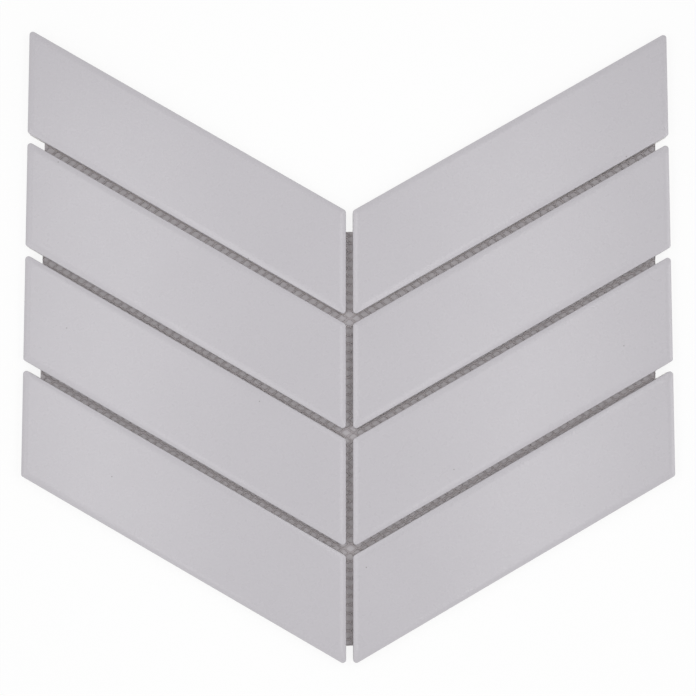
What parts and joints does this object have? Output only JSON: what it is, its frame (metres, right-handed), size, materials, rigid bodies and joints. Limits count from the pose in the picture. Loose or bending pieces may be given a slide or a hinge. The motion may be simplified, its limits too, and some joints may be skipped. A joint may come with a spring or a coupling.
{
  "type": "chevron mosaic tile sheet",
  "caption": "Chevron mosaic wall tile sheet: mirrored columns of glazed parallelogram tiles with cushioned rims and open grout joints, glued on a fine backing net.",
  "frame": {"origin": "middle of the sheet's underside: bottom centre of the bounding box, on the backing net's lower face", "axes": "+Z out of the glazed face, +Y towards the open end of the chevron, +X to the right with the face towards you"},
  "size_m": [0.3, 0.2922, 0.0066],
  "materials": {
    "glazed_porcelain": "satin glaze, pale cool grey",
    "net": "resin-coated open honeycomb net"
  },
  "bodies": {
    "root": {"tile_left_1": "glazed_porcelain", "tile_left_2": "glazed_porcelain", "tile_left_3": "glazed_porcelain", "tile_left_4": "glazed_porcelain", "tile_right_1": "glazed_porcelain", "tile_right_2": "glazed_porcelain", "tile_right_3": "glazed_porcelain", "tile_right_4": "glazed_porcelain", "backing_net": "net"}
  },
  "joints": []
}
